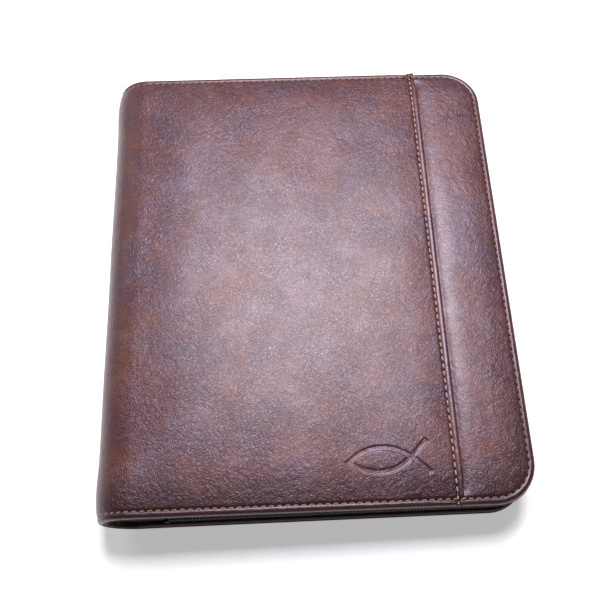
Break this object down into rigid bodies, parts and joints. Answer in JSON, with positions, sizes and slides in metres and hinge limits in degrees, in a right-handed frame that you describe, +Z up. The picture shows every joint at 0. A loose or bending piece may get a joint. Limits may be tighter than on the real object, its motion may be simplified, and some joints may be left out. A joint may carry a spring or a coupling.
{
  "type": "zip-around bible cover with bible",
  "caption": "Padded leather zip-around case closed round a bible, with a front slip pocket, hinged cover, zip slider and turning first leaf.",
  "frame": {"origin": "centre of the closed case's footprint, on the table", "axes": "+X from the spine to the zipped free edge, +Y from the foot of the cover to its head, +Z up out of the front cover"},
  "size_m": [0.1971, 0.2356, 0.0345],
  "materials": {
    "cover_leather": "mottled antique brown, soft sheen",
    "foam": "matte foam",
    "board": "matte grey board",
    "lining": "fine woven lining",
    "thread": "waxed tan thread",
    "zip_tape": "woven zip tape",
    "zip_coil": "nylon coil",
    "zip_metal": "antique brass",
    "book_leather": "fine grained black",
    "paper": "matte cream",
    "leaves": "thin leaves with gilt edges",
    "headband": "woven silk"
  },
  "bodies": {
    "back": {"outer_wrap_back": "cover_leather", "back_padding": "foam", "back_board": "board", "back_lining": "lining", "back_sleeve": "lining", "back_edge_stitching": "thread", "back_tape_foot": "zip_tape", "back_tape_foot_corner": "zip_tape", "back_tape_side": "zip_tape", "back_tape_head_corner": "zip_tape", "back_tape_head": "zip_tape", "back_zip_teeth": "zip_coil", "zip_start_stop": "zip_metal", "zip_end_stop": "zip_metal", "book_back_cover": "book_leather", "book_spine": "book_leather", "back_endpaper": "paper", "page_block": "leaves", "headbands": "headband"},
    "front": {"outer_wrap_front": "cover_leather", "pocket_strip_panel": "cover_leather", "pocket_front_lining": "lining", "pocket_back_lining": "lining", "front_padding": "foam", "front_board": "board", "front_lining": "lining", "front_sleeve": "lining", "front_edge_stitching": "thread", "fold_topstitching": "thread", "front_zip_tape": "zip_tape", "front_zip_teeth": "zip_coil", "book_front_cover": "book_leather", "front_endpaper": "paper"},
    "spine": {"spine_leather": "cover_leather", "spine_padding": "foam", "spine_strip": "board", "spine_lining": "lining"},
    "leaf": {"flyleaf": "paper"},
    "slider": {"slider_body": "zip_metal", "pull_pin": "zip_metal"},
    "pull": {"pull_tab": "zip_metal"}
  },
  "joints": [
    {"name": "spine_fold", "type": "hinge", "parent": "back", "child": "spine", "pos_m": [-0.09461, 0, 0.0065], "axis": [0, -1, 0], "range_deg": [0, 91]},
    {"name": "cover_open", "type": "hinge", "parent": "spine", "child": "front", "pos_m": [-0.09461, 0, 0.0285], "axis": [0, -1, 0], "range_deg": [0, 91]},
    {"name": "leaf_turn", "type": "hinge", "parent": "back", "child": "leaf", "pos_m": [-0.07556, 0, 0.02657], "axis": [0, -1, 0], "range_deg": [0, 188]},
    {"name": "zip_slide", "type": "slide", "parent": "back", "child": "slider", "axis": [1, 0, 0], "range_m": [0, 0.135]},
    {"name": "pull_swing", "type": "hinge", "parent": "slider", "child": "pull", "pos_m": [-0.0705, 0.118, 0.0145], "axis": [0, 0, 1], "range_deg": [0, 165]}
  ],
  "couplings": [
    {"joint": "spine_fold", "follows": "cover_open", "ratio": 1},
    {"joint": "leaf_turn", "follows": "cover_open", "ratio": 2.06}
  ]
}
